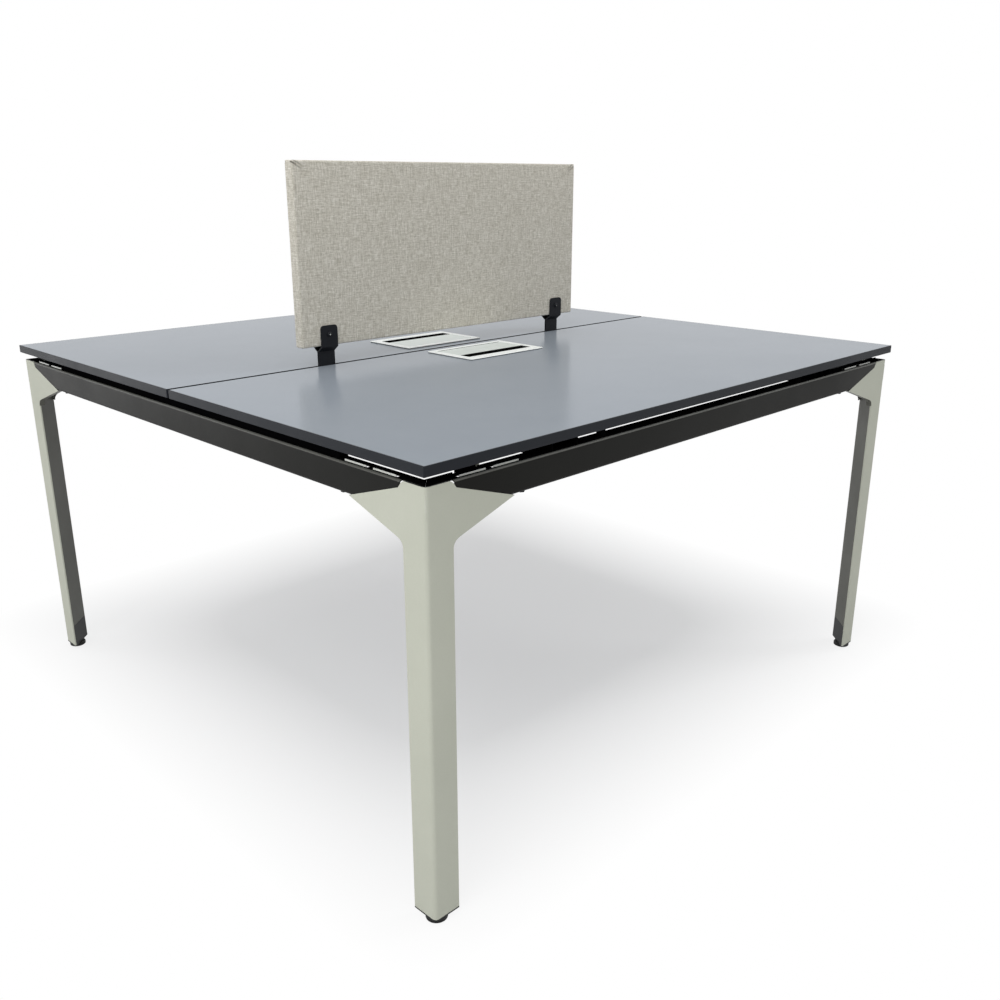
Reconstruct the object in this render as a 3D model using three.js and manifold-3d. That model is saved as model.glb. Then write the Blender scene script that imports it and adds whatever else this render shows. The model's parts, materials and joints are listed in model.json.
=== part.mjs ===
import * as THREE from 'three';
import { mergeVertices } from 'three/addons/utils/BufferGeometryUtils.js';
import Module from 'manifold-3d';

// A benching desk for two: two worktops meet along a seam on one four-legged frame, with a
// fabric screen standing in the seam and a flap box for each user beside it.
// Millimetres, +Z up, origin on the floor under the middle of the desk.
// X runs along the seam, and the two users sit at -Y (near) and +Y (far).

// Worktops
const worktopLength = 1400;
const worktopDepth = 700;
const worktopThickness = 16;
const worktopHeight = 750;
const seamGap = 6;
const edgeBandWall = 2;
const edgeRound = 0.8;
const worktopCorner = 2;

// Frame, set in from the worktops' edges, with a shadow gap under them
const frameInset = 6;
const worktopGap = 16;

// Beams: channels open to the inside, mitred where they meet the legs
const beamHeight = 48;
const beamDepth = 25;
const beamWall = 2;
const beamFold = 5;
const mitreInset = 57;
const mitreTip = 11;
const beamEndSlant = 5;
const tongueTip = 7;
const slotLength = 56;
const slotWidth = 9;
const slotSetback = 6;
const slotMargin = 9;
const slotWeb = 11;
const slotsPerEnd = 2;

// Legs: folded angles that flare into a gusset under each beam
const legWidth = 50;
const legWall = 3;
const legFold = 8;
const legClear = 12;
const legShoulder = 14;
const gussetReach = 172;
const gussetDrop = 41;
const gussetFillet = 12;
const gussetLip = 12;
const jointGap = 0.6;
const armReach = 215;
const armThickness = 12;
const armHeadroom = 10;
const armBoltSetback = 18;
const armBoltRadius = 3;
const armBoltGrip = 22;
const boltHeadRadius = 5.8;
const boltHeadHeight = 3;

// Leg cover, end cap and levelling foot
const coverWall = 2;
const coverFlange = 13;
const coverHeadroom = 4;
const plugHeight = 50;
const capFlange = 2.5;
const footRadius = 18;
const footInset = 18.5;
const footRim = 1.5;
const studRadius = 5;
const studShort = 8;

// Bearers that cross under both worktops from the near beam to the far one, outside the clamps
const bearerWidth = 60;
const bearerHeight = 30;
const bearerWall = 2;
const bearerClear = 3;

// Strips on the end beams, and folded clips at the ends of the other two, that carry the worktops
const stripDepth = 18;
const stripSetback = 200;
const stripRound = 3;
const clipLength = 40;
const clipSetback = 75;
const clipWall = 2;
const clipReach = 26;
const clipSlotGap = 1;

// Screen and its clamp plates
const screenLength = 800;
const screenHeight = 350;
const screenThickness = 25;
const screenLift = 40;
const screenShift = -15;
const screenCorner = 8;
const screenRound = 5;
const clampSpread = 676;
const clampWidth = 40;
const clampWall = 2.5;
const clampRise = 42;
const clampJog = 10;
const clampFoot = 42;
const clampCorner = 8;
const clampPlateGap = 0.4;
const clampBoltRise = 24;
const clampBoltRadius = 3;
const clampBoltHeadRadius = 5.5;
const clampBoltHeadHeight = 3;
const clampScrewReach = 26;
const clampScrewRadius = 2;
const clampScrewHeadRadius = 4;
const clampScrewHeadHeight = 2.6;
const clampScrewBite = 10;

// Flap boxes: frame, hinged lid with a cable slot in front of it, and the well below
const flapLength = 220;
const flapDepth = 140;
const flapInset = 31;
const flapFlange = 2.5;
const flapCorner = 4;
const flapBevel = 0.8;
const flapEndBorder = 16;
const flapHingeBorder = 14;
const flapFrontBorder = 24;
const flapSkirtWall = 6;
const flapSkirtShort = 1;
const cutoutClearance = 0.5;
const cableSlot = 12;
const lidWall = 2;
const lidLip = 7.5;
const lidEndGap = 0.8;
const lidHingeGap = 0.8;
const barrelRadius = 3.5;
const pinRadius = 1.5;
const pinSeat = 5;
const ledgeReach = 4;
const ledgeLength = 14;
const ledgeThickness = 3;
const ledgeSetback = 4;
const wellWall = 2;
const wellHeight = 50;
const wellRim = 14;
const wellCorner = 6;
const outletLength = 60;
const outletWidth = 24;

// Clearance between pieces that seat on or in each other, and how far a cut overruns a face
const fit = 0.3;
const overrun = 2;

// Facets of the curved surfaces
const roundSides = 16;
const footSides = 24;
const hexSides = 6;
const curveSteps = 5;
const edgeSteps = 3;

// Places worked out from the sizes above
const frameLength = worktopLength - 2 * frameInset;
const frameDepth = 2 * worktopDepth + seamGap - 2 * frameInset;
const worktopUnderside = worktopHeight - worktopThickness;
const frameTop = worktopUnderside - worktopGap;
const frameUnderside = frameTop - beamHeight;
const mitreFoot = frameTop - mitreTip;
const gussetTop = mitreFoot - jointGap;
const slotStart = mitreInset + slotMargin;
const channelFloor = frameUnderside + beamWall;
const armFront = beamFold + fit;
const armBack = armFront + armThickness;
const armLow = channelFloor + fit;
const armTop = frameTop - beamWall - armHeadroom;
const armBolt = armReach - armBoltSetback;
const armBoltDepth = (armFront + armBack) / 2;
const screenBottom = worktopHeight + screenLift;
const clampBoltHeight = screenBottom + clampBoltRise;
const clampFace = screenThickness / 2 + fit;
const clampFootTop = worktopUnderside - fit;
const clampPlaces = [screenShift - clampSpread / 2, screenShift + clampSpread / 2];
const clampReach = Math.max(...clampPlaces.map(Math.abs)) + clampWidth / 2;
const bearerOffset = clampReach + bearerClear + bearerWidth / 2;
const packerLow = frameTop + fit;
const packerTop = worktopUnderside - fit;
const flapFront = flapInset + flapDepth;
const openingHalf = flapLength / 2 - flapEndBorder;
const openingBack = flapInset + flapHingeBorder;
const openingFront = flapFront - flapFrontBorder;
const flapTop = worktopHeight + fit + flapFlange;
const hingeY = openingBack + lidHingeGap + barrelRadius;
const hingeZ = flapTop - barrelRadius;
const lidFront = openingFront - cableSlot;

const finishes = {
  laminate: { color: 0x9aa1aa, roughness: 0.4, metalness: 0 },
  edging: { color: 0x4d5055, roughness: 0.5, metalness: 0 },
  paleCoat: { color: 0xbcbfb1, roughness: 0.45, metalness: 0 },
  darkCoat: { color: 0x4a4a46, roughness: 0.5, metalness: 0 },
  blackCoat: { color: 0x1f2124, roughness: 0.5, metalness: 0 },
  blackPlastic: { color: 0x151617, roughness: 0.6, metalness: 0 },
  zincSteel: { color: 0x8f9294, roughness: 0.35, metalness: 1 },
  frameAluminium: { color: 0xe3e7e5, roughness: 0.4, metalness: 0.6 },
  lidAluminium: { color: 0xd4dad6, roughness: 0.35, metalness: 0.6 },
  fabric: { color: 0xb0a99d, roughness: 0.95, metalness: 0 },
};

const wasm = await Module();
wasm.setup();

// A closed geometry as a solid that can be joined and cut, and back again
function solid(geometry) {
  const bare = geometry.clone();
  bare.deleteAttribute('normal');
  bare.deleteAttribute('uv');
  const merged = mergeVertices(bare);
  return new wasm.Manifold(new wasm.Mesh({
    numProp: 3,
    vertProperties: new Float32Array(merged.attributes.position.array),
    triVerts: new Uint32Array(merged.index.array),
  }));
}

function surface(body) {
  const mesh = body.getMesh();
  const geometry = new THREE.BufferGeometry();
  geometry.setAttribute('position', new THREE.BufferAttribute(mesh.vertProperties, 3));
  geometry.setIndex(new THREE.BufferAttribute(mesh.triVerts, 1));
  geometry.computeVertexNormals();
  return geometry;
}

function join(...geometries) {
  return geometries.map(solid).reduce((whole, piece) => whole.add(piece));
}

function cut(body, ...geometries) {
  return geometries.map(solid).reduce((rest, piece) => rest.subtract(piece), body);
}

// An outline through corners [x, y] or [x, y, round], where round is how far a curve cuts back
function outline(corners) {
  const shape = new THREE.Shape();
  const places = corners.map(([x, y]) => new THREE.Vector2(x, y));
  corners.forEach(([, , round = 0], i) => {
    const here = places[i];
    const next = places[(i + 1) % places.length];
    const start = here.clone().add(places.at(i - 1).clone().sub(here).setLength(round));
    const end = here.clone().add(next.clone().sub(here).setLength(round));
    if (i === 0) {
      shape.moveTo(start.x, start.y);
    } else {
      shape.lineTo(start.x, start.y);
    }
    if (round > 0) {
      shape.quadraticCurveTo(here.x, here.y, end.x, end.y);
    }
  });
  return shape;
}

function rectangle(lowX, lowY, highX, highY, round = 0) {
  return outline([[lowX, lowY, round], [highX, lowY, round], [highX, highY, round], [lowX, highY, round]]);
}

// Sweeps of a flat outline: its two axes are the row axes left over, in X, Y, Z order
function sweep(shape, length) {
  const settings = { depth: length, bevelEnabled: false, curveSegments: curveSteps };
  return new THREE.ExtrudeGeometry(shape, settings);
}

function sweepX(shape, low, high) {
  const turned = new THREE.Matrix4().makeBasis(
    new THREE.Vector3(0, 1, 0), new THREE.Vector3(0, 0, 1), new THREE.Vector3(1, 0, 0));
  return sweep(shape, high - low).applyMatrix4(turned).translate(low, 0, 0);
}

function sweepY(shape, low, high) {
  const turned = new THREE.Matrix4().makeBasis(
    new THREE.Vector3(1, 0, 0), new THREE.Vector3(0, 0, 1), new THREE.Vector3(0, -1, 0));
  return sweep(shape, high - low).applyMatrix4(turned).translate(0, high, 0);
}

function sweepZ(shape, low, high) {
  return sweep(shape, high - low).translate(0, 0, low);
}

// A slab whose outer edges are rounded over, top and bottom
function roundedSlab(shape, thickness, round) {
  return new THREE.ExtrudeGeometry(shape, {
    depth: thickness - 2 * round,
    bevelThickness: round,
    bevelSize: round,
    bevelOffset: -round,
    bevelSegments: edgeSteps,
    curveSegments: curveSteps,
  }).translate(0, 0, round);
}

function block(lowX, lowY, lowZ, highX, highY, highZ) {
  return new THREE.BoxGeometry(highX - lowX, highY - lowY, highZ - lowZ)
    .translate((lowX + highX) / 2, (lowY + highY) / 2, (lowZ + highZ) / 2);
}

function barZ(radius, low, high, sides = roundSides) {
  return new THREE.CylinderGeometry(radius, radius, high - low, sides)
    .rotateX(Math.PI / 2)
    .translate(0, 0, (low + high) / 2);
}

// A turned piece, from [radius, height] pairs that run up the outside from axis to axis
function turnedZ(profile, sides) {
  const points = profile.map(([radius, height]) => new THREE.Vector2(radius, height));
  return new THREE.LatheGeometry(points, sides).rotateX(Math.PI / 2);
}

function worktopCore(lowZ, highZ) {
  const halfLength = worktopLength / 2 - edgeBandWall;
  const back = seamGap / 2 + edgeBandWall;
  const front = seamGap / 2 + worktopDepth - edgeBandWall;
  return sweepZ(rectangle(-halfLength, back, halfLength, front), lowZ, highZ);
}

// side is 1 on the far worktop and -1 on the near one, which is turned half round
function worktop(side) {
  const cutHalf = openingHalf + flapSkirtWall + cutoutClearance;
  const cutBack = openingBack - flapSkirtWall - cutoutClearance;
  const cutFront = openingFront + flapSkirtWall + cutoutClearance;
  const low = worktopUnderside - overrun;
  const flapHole = block(-cutHalf, cutBack, low, cutHalf, cutFront, worktopHeight + overrun);
  const pilots = clampPlaces.map((place) => barZ(clampScrewRadius + fit, low,
    worktopUnderside + clampScrewBite + overrun).translate(side * place, clampScrewReach, 0));
  return surface(cut(solid(worktopCore(worktopUnderside, worktopHeight)), flapHole, ...pilots));
}

function edgeBand() {
  const half = worktopLength / 2;
  const rim = rectangle(-half, seamGap / 2, half, seamGap / 2 + worktopDepth, worktopCorner);
  const outer = roundedSlab(rim, worktopThickness, edgeRound).translate(0, 0, worktopUnderside);
  return surface(cut(solid(outer), worktopCore(worktopUnderside - overrun, worktopHeight + overrun)));
}

// A channel whose upper flange runs on behind the leg's face, to a mitre in the corner
function beam(length) {
  const profile = outline([
    [beamDepth, frameUnderside], [beamDepth, channelFloor],
    [beamWall, channelFloor, beamFold - beamWall], [beamWall, frameTop - beamWall, beamFold - beamWall],
    [beamDepth, frameTop - beamWall], [beamDepth, frameTop],
    [0, frameTop, beamFold], [0, frameUnderside, beamFold],
  ]);
  const end = length / 2;
  const cuts = [];
  const tongues = [];
  for (const hand of [-1, 1]) {
    const fromEnd = (distance) => hand * (end - distance);
    const corners = [
      [fromEnd(-overrun), frameTop + overrun], [fromEnd(mitreInset - beamEndSlant), frameTop + overrun],
      [fromEnd(mitreInset - beamEndSlant), frameTop],
      [fromEnd(mitreInset), mitreFoot], [fromEnd(gussetReach), frameUnderside],
      [fromEnd(gussetReach), frameUnderside - overrun], [fromEnd(-overrun), frameUnderside - overrun],
    ];
    cuts.push(sweepY(outline(corners), -overrun, beamDepth + overrun));
    const tongue = [
      [fromEnd(slotStart), beamFold], [fromEnd(slotStart), beamDepth],
      [fromEnd(beamDepth + fit), beamDepth], [fromEnd(tongueTip + fit), tongueTip],
      [fromEnd(legFold + fit), beamFold],
    ];
    tongues.push(sweepZ(outline(tongue), frameTop - beamWall, frameTop));
    cuts.push(barZ(armBoltRadius + fit, frameUnderside - overrun, channelFloor + overrun)
      .translate(fromEnd(armBolt), armBoltDepth, 0));
    for (let i = 0; i < slotsPerEnd; i += 1) {
      const start = slotStart + i * (slotLength + slotWeb);
      const ends = [fromEnd(start), fromEnd(start + slotLength)];
      const slot = rectangle(Math.min(...ends), slotSetback, Math.max(...ends),
        slotSetback + slotWidth, slotWidth / 2);
      cuts.push(sweepZ(slot, frameTop - beamWall - overrun, frameTop + overrun));
    }
  }
  const body = cut(solid(sweepX(profile, -end, end)), ...cuts);
  return surface(tongues.map(solid).reduce((whole, tongue) => whole.add(tongue), body));
}

// The flare of a leg's face under a beam: curved out of the leg's edge, then straight to the mitre,
// with its upper edge at the height given
function flare(left, rise, upper) {
  const root = frameUnderside - gussetDrop + rise;
  const apex = frameUnderside - jointGap + rise;
  const along = gussetFillet / (gussetReach - legWidth);
  const shape = new THREE.Shape();
  shape.moveTo(left, root - gussetFillet);
  shape.lineTo(legWidth, root - gussetFillet);
  shape.quadraticCurveTo(legWidth, root, legWidth + gussetFillet, root + along * (apex - root));
  shape.lineTo(gussetReach, apex);
  shape.lineTo(mitreInset, gussetTop + rise);
  shape.lineTo(mitreInset, upper);
  shape.lineTo(left, upper);
  return shape;
}

// What is cut from the upper corner of a leg's face, to leave a round shoulder beside the beam
function shoulderCut() {
  const start = mitreInset - legShoulder;
  const shape = new THREE.Shape();
  shape.moveTo(start, frameTop);
  shape.quadraticCurveTo(start + legShoulder / 2, frameTop, mitreInset, gussetTop);
  shape.lineTo(mitreInset + overrun, gussetTop);
  shape.lineTo(mitreInset + overrun, frameTop + overrun);
  shape.lineTo(start, frameTop + overrun);
  return shape;
}

// The leg stands in the corner of two upright planes, x = 0 and y = 0, that hold its faces
function leg() {
  const angle = outline([
    [0, 0, legFold], [legWidth, 0], [legWidth, legWall],
    [legWall, legWall, legFold - legWall], [legWall, legWidth], [0, legWidth],
  ]);
  const inside = legWidth - legWall;
  const armRoot = legWall / 2;
  let body = solid(sweepZ(angle, legClear, frameTop));
  for (const across of [sweepX, sweepY]) {
    const lip = cut(solid(across(flare(legWidth, 0, gussetTop), 0, gussetLip)),
      across(flare(inside, legWall, gussetTop + legWall), legWall, gussetLip + overrun));
    body = body.add(solid(across(flare(inside, 0, frameTop), 0, legWall))).add(lip);
  }
  const arms = join(
    block(armRoot, armRoot, armLow, legWidth, armBack, armTop),
    block(armRoot, armRoot, armLow, armBack, legWidth, armTop),
    block(armRoot, armFront, armLow, armReach, armBack, armTop),
    block(armFront, armRoot, armLow, armBack, armReach, armTop));
  const boltHole = barZ(armBoltRadius + fit, armLow - overrun, armLow + armBoltGrip);
  return surface(cut(body.add(arms),
    sweepX(shoulderCut(), -overrun, armFront - fit),
    sweepY(shoulderCut(), -overrun, armFront - fit),
    boltHole.clone().translate(armBolt, armBoltDepth, 0),
    boltHole.clone().translate(armBoltDepth, armBolt, 0)));
}

function armBoltBody() {
  const headTop = frameUnderside - fit;
  const head = barZ(boltHeadRadius, headTop - boltHeadHeight, headTop, hexSides);
  const shank = barZ(armBoltRadius, headTop - boltHeadHeight / 2, armLow + armBoltGrip - fit);
  return surface(join(head, shank));
}

// Folded channel across the open side of the leg, its flanges flat against the leg's faces
function legCover() {
  const near = legWall + fit;
  const edge = legWidth + legWall - near;
  const inner = edge - coverWall * Math.SQRT2;
  const back = edge - coverFlange;
  const section = outline([
    [edge, near], [near, edge], [near, back], [near + coverWall, back],
    [near + coverWall, inner - coverWall], [inner - coverWall, near + coverWall],
    [back, near + coverWall], [back, near],
  ]);
  return sweepZ(section, legClear + plugHeight + fit, armLow - coverHeadroom);
}

// Plug in the leg's lower end, with a flange under the leg and a bore for the foot's stud
function endCap() {
  const near = legWall + fit;
  const edge = legWidth + legWall - near;
  const plug = outline([[near, near, legFold - legWall], [edge, near], [near, edge]]);
  const flange = outline([
    [0, 0, legFold], [legWidth, 0], [legWidth, legWall], [legWall, legWidth], [0, legWidth],
  ]);
  const flangeTop = legClear - fit;
  const body = join(
    sweepZ(plug, flangeTop - capFlange / 2, legClear + plugHeight),
    sweepZ(flange, flangeTop - capFlange, flangeTop));
  const bore = barZ(studRadius + fit, -overrun, legClear + plugHeight + overrun);
  return surface(cut(body, bore.translate(footInset, footInset, 0)));
}

function levellingFoot() {
  const padTop = legClear - fit - capFlange - fit;
  const studTop = legClear + plugHeight - studShort;
  return turnedZ([
    [0, 0], [footRadius - footRim, 0], [footRadius, footRim], [footRadius, padTop - footRim],
    [footRadius - footRim, padTop], [studRadius, padTop], [studRadius, studTop - footRim],
    [studRadius - footRim, studTop], [0, studTop],
  ], footSides);
}

// Flat tube along Y under the worktops, coped at its ends to rest on the beams' upper flanges
function bearer() {
  const end = frameDepth / 2 - beamFold - fit;
  const half = bearerWidth / 2;
  const low = packerTop - bearerHeight;
  const inside = half - bearerWall;
  const tube = rectangle(-half, low, half, packerTop);
  tube.holes.push(rectangle(-inside, low + bearerWall, inside, packerTop - bearerWall));
  const copes = [-1, 1].map((hand) => {
    const ends = [hand * (frameDepth / 2 - beamDepth - fit), hand * (end + overrun)];
    return block(-half - overrun, Math.min(...ends), low - overrun,
      half + overrun, Math.max(...ends), packerLow);
  });
  return surface(cut(solid(sweepY(tube, -end, end)), ...copes));
}

// Strip along an end beam, between the slots at the beam's two ends
function sideStrip() {
  const half = frameDepth / 2 - stripSetback;
  return sweepZ(rectangle(-stripDepth / 2, -half, stripDepth / 2, half, stripRound), packerLow, packerTop);
}

// Z-shaped clip: foot on the beam behind its slots, upright, and a flange inwards under the worktop
function worktopClip() {
  const half = clipLength / 2;
  const foot = beamDepth - slotSetback - slotWidth - clipSlotGap;
  const profile = outline([
    [0, packerLow], [foot, packerLow], [foot, packerLow + clipWall], [clipWall, packerLow + clipWall],
    [clipWall, packerTop], [clipWall - clipReach, packerTop], [clipWall - clipReach, packerTop - clipWall],
    [0, packerTop - clipWall],
  ]);
  return sweepX(profile, -half, half);
}

function screenPanel() {
  const half = screenLength / 2;
  const face = rectangle(screenShift - half, 0, screenShift + half, screenHeight, screenCorner);
  const panel = roundedSlab(face, screenThickness, screenRound)
    .rotateX(Math.PI / 2)
    .translate(0, screenThickness / 2, screenBottom);
  const hole = barZ(clampBoltRadius + fit, -screenThickness, screenThickness).rotateX(Math.PI / 2);
  return surface(cut(solid(panel),
    ...clampPlaces.map((place) => hole.clone().translate(place, 0, clampBoltHeight))));
}

// Plate up one face of the screen, jogged in to pass down the seam, with a foot under the worktop
function clampPlate() {
  const top = screenBottom + clampRise;
  const neck = clampPlateGap / 2;
  const footLow = clampFootTop - clampWall;
  const jogLow = screenBottom - clampJog;
  const profile = outline([
    [clampFace, top], [clampFace, screenBottom], [neck, jogLow],
    [neck, footLow], [clampFoot, footLow], [clampFoot, clampFootTop],
    [neck + clampWall, clampFootTop], [neck + clampWall, jogLow - clampWall / 2],
    [clampFace + clampWall, screenBottom - clampWall / 2], [clampFace + clampWall, top],
  ]);
  const half = clampWidth / 2;
  const face = outline([
    [-half, footLow - overrun], [half, footLow - overrun],
    [half, top, clampCorner], [-half, top, clampCorner],
  ]);
  const plan = rectangle(-half, -overrun, half, clampFoot, clampCorner);
  const blank = solid(sweepX(profile, -half, half))
    .intersect(solid(sweepY(face, -overrun, clampFoot + overrun)))
    .intersect(solid(sweepZ(plan, footLow - overrun, top + overrun)));
  const boltHole = barZ(clampBoltRadius + fit, -clampFoot, clampFoot)
    .rotateX(Math.PI / 2)
    .translate(0, 0, clampBoltHeight);
  const screwHole = barZ(clampScrewRadius + fit, footLow - overrun, clampFootTop + overrun)
    .translate(0, clampScrewReach, 0);
  return surface(cut(blank, boltHole, screwHole));
}

// Through bolt with a domed head against each clamp plate
function clampBolt() {
  const headIn = clampFace + clampWall + fit;
  const headOut = headIn + clampBoltHeadHeight;
  const shoulder = (headIn + headOut) / 2;
  const half = [
    [clampBoltRadius, headIn], [clampBoltHeadRadius, headIn],
    [clampBoltHeadRadius, shoulder], [clampBoltHeadRadius - clampBoltHeadHeight / 2, headOut], [0, headOut],
  ];
  const mirrored = half.map(([radius, height]) => [radius, -height]).reverse();
  return turnedZ([...mirrored, ...half], roundSides).rotateX(Math.PI / 2);
}

function clampScrew() {
  const headTop = clampFootTop - clampWall - fit;
  const headLow = headTop - clampScrewHeadHeight;
  const tip = worktopUnderside + clampScrewBite;
  return turnedZ([
    [0, headLow], [clampScrewHeadRadius - clampScrewHeadHeight / 2, headLow],
    [clampScrewHeadRadius, (headLow + headTop) / 2], [clampScrewHeadRadius, headTop],
    [clampScrewRadius, headTop], [clampScrewRadius, tip], [0, tip],
  ], roundSides);
}

// Flange on the worktop and a skirt down its cut-out, with ledges that stop the closed lid
function flapFrame() {
  const rim = rectangle(-flapLength / 2, flapInset, flapLength / 2, flapFront, flapCorner);
  const skirtLow = worktopUnderside + flapSkirtShort;
  const skirtHalf = openingHalf + flapSkirtWall;
  const skirt = block(-skirtHalf, openingBack - flapSkirtWall, skirtLow,
    skirtHalf, openingFront + flapSkirtWall, flapTop - flapFlange / 2);
  const flange = roundedSlab(rim, flapFlange, flapBevel).translate(0, 0, flapTop - flapFlange);
  const opening = block(-openingHalf, openingBack, skirtLow - overrun,
    openingHalf, openingFront, flapTop + overrun);
  const pinHole = barZ(pinRadius + fit, -openingHalf - pinSeat - fit, openingHalf + pinSeat + fit)
    .rotateY(Math.PI / 2)
    .translate(0, hingeY, hingeZ);
  const ledgeTop = flapTop - lidWall - fit;
  const ledgeFront = lidFront - ledgeSetback;
  const ledges = [-1, 1].map((hand) => {
    const ends = [hand * (openingHalf - ledgeReach), hand * (openingHalf + flapSkirtWall / 2)];
    return block(Math.min(...ends), ledgeFront - ledgeLength, ledgeTop - ledgeThickness,
      Math.max(...ends), ledgeFront, ledgeTop);
  });
  const ring = cut(join(skirt, flange), opening, pinHole);
  return surface(ledges.map(solid).reduce((whole, ledge) => whole.add(ledge), ring));
}

// Extruded lid: hinge barrel at the seam side, flat plate, and a lip along the cable slot
function flapLid() {
  const halfLength = openingHalf - lidEndGap;
  const under = barrelRadius - lidWall;
  const reach = lidFront - hingeY;
  const section = new THREE.Shape();
  section.absarc(0, 0, barrelRadius, Math.PI / 2, 2 * Math.PI + Math.asin(under / barrelRadius));
  section.lineTo(reach - lidWall, under);
  section.lineTo(reach - lidWall, barrelRadius - lidLip);
  section.lineTo(reach, barrelRadius - lidLip);
  section.lineTo(reach, barrelRadius);
  const lid = sweepX(section, -halfLength, halfLength).translate(0, hingeY, hingeZ);
  const bore = barZ(pinRadius + fit, -openingHalf, openingHalf)
    .rotateY(Math.PI / 2)
    .translate(0, hingeY, hingeZ);
  return surface(cut(solid(lid), bore));
}

function hingePin() {
  return barZ(pinRadius, -openingHalf - pinSeat, openingHalf + pinSeat)
    .rotateY(Math.PI / 2)
    .translate(0, hingeY, hingeZ);
}

// Open tub under the cut-out, hung by its rim on the worktop, with a cable outlet in its floor
function flapWell() {
  const rimTop = worktopUnderside - fit;
  const low = rimTop - wellHeight;
  const inner = [-openingHalf, openingBack, openingHalf, openingFront];
  const grown = (by) => rectangle(inner[0] - by, inner[1] - by, inner[2] + by, inner[3] + by, wellCorner);
  const middle = (openingBack + openingFront) / 2;
  const outlet = rectangle(-outletLength / 2, middle - outletWidth / 2, outletLength / 2,
    middle + outletWidth / 2, outletWidth / 2);
  const body = join(
    sweepZ(grown(wellWall), low, rimTop),
    sweepZ(grown(wellRim), rimTop - wellWall, rimTop));
  return surface(cut(body,
    sweepZ(rectangle(...inner, wellCorner - wellWall), low + wellWall, rimTop + overrun),
    sweepZ(outlet, low - overrun, low + wellWall + overrun)));
}

const desk = new THREE.Group();

function add(parent, name, geometry, finish) {
  const mesh = new THREE.Mesh(geometry, new THREE.MeshStandardMaterial(finishes[finish]));
  mesh.name = name;
  parent.add(mesh);
  return mesh;
}

function turnedGroup(x, y, turn) {
  const group = new THREE.Group();
  group.position.set(x, y, 0);
  group.rotation.z = turn;
  desk.add(group);
  return group;
}

// One group for each corner and the beam that runs on from it, going round from the near left
const corners = [
  { corner: 'near_left', beam: 'near', x: -1, y: -1, length: frameLength },
  { corner: 'near_right', beam: 'right', x: 1, y: -1, length: frameDepth },
  { corner: 'far_right', beam: 'far', x: 1, y: 1, length: frameLength },
  { corner: 'far_left', beam: 'left', x: -1, y: 1, length: frameDepth },
];
corners.forEach(({ corner, beam: beamName, x, y, length }, i) => {
  const group = turnedGroup(x * frameLength / 2, y * frameDepth / 2, i * Math.PI / 2);
  add(group, `leg_${corner}`, leg(), 'paleCoat');
  add(group, `leg_cover_${corner}`, legCover(), 'darkCoat');
  add(group, `end_cap_${corner}`, endCap(), 'blackPlastic');
  add(group, `levelling_foot_${corner}`, levellingFoot(), 'blackPlastic')
    .position.set(footInset, footInset, 0);
  add(group, `beam_${beamName}`, beam(length), 'darkCoat').position.x = length / 2;
  add(group, `arm_bolt_${corner}_a`, armBoltBody(), 'zincSteel').position.set(armBolt, armBoltDepth, 0);
  add(group, `arm_bolt_${corner}_b`, armBoltBody(), 'zincSteel').position.set(armBoltDepth, armBolt, 0);
});

// One group for each user's side, built at the far side and turned half round for the near one
for (const [user, side] of [['far', 1], ['near', -1]]) {
  const group = turnedGroup(0, 0, side > 0 ? 0 : Math.PI);
  add(group, `worktop_${user}`, worktop(side), 'laminate');
  add(group, `edge_band_${user}`, edgeBand(), 'edging');
  const clipX = frameLength / 2 - clipSetback - clipLength / 2;
  [-1, 1].forEach((hand) => {
    add(group, `worktop_clip_${user}_${hand * side < 0 ? 'left' : 'right'}`, worktopClip(), 'blackCoat')
      .position.set(hand * clipX, frameDepth / 2 - beamDepth + fit, 0);
  });
  add(group, `flap_frame_${user}`, flapFrame(), 'frameAluminium');
  add(group, `flap_lid_${user}`, flapLid(), 'lidAluminium');
  add(group, `flap_hinge_pin_${user}`, hingePin(), 'zincSteel');
  add(group, `flap_well_${user}`, flapWell(), 'blackPlastic');
  clampPlaces.forEach((place, i) => {
    const hand = ['left', 'right'][i];
    add(group, `screen_clamp_${user}_${hand}`, clampPlate(), 'blackCoat').position.x = side * place;
    add(group, `clamp_screw_${user}_${hand}`, clampScrew(), 'zincSteel')
      .position.set(side * place, clampScrewReach, 0);
  });
}

const stripX = frameLength / 2 - beamDepth + fit + stripDepth / 2;
for (const [name, hand] of [['left', -1], ['right', 1]]) {
  add(desk, `bearer_${name}`, bearer(), 'darkCoat').position.x = hand * bearerOffset;
  add(desk, `side_strip_${name}`, sideStrip(), 'blackPlastic').position.x = hand * stripX;
}

add(desk, 'screen_panel', screenPanel(), 'fabric');
clampPlaces.forEach((place, i) => {
  add(desk, `screen_bolt_${['left', 'right'][i]}`, clampBolt(), 'blackCoat')
    .position.set(place, 0, clampBoltHeight);
});

export default desk;
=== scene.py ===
import json
from math import atan2, cos, pi, radians, sin, tanh

import bmesh
import bpy
from mathutils import Matrix, Vector

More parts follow.
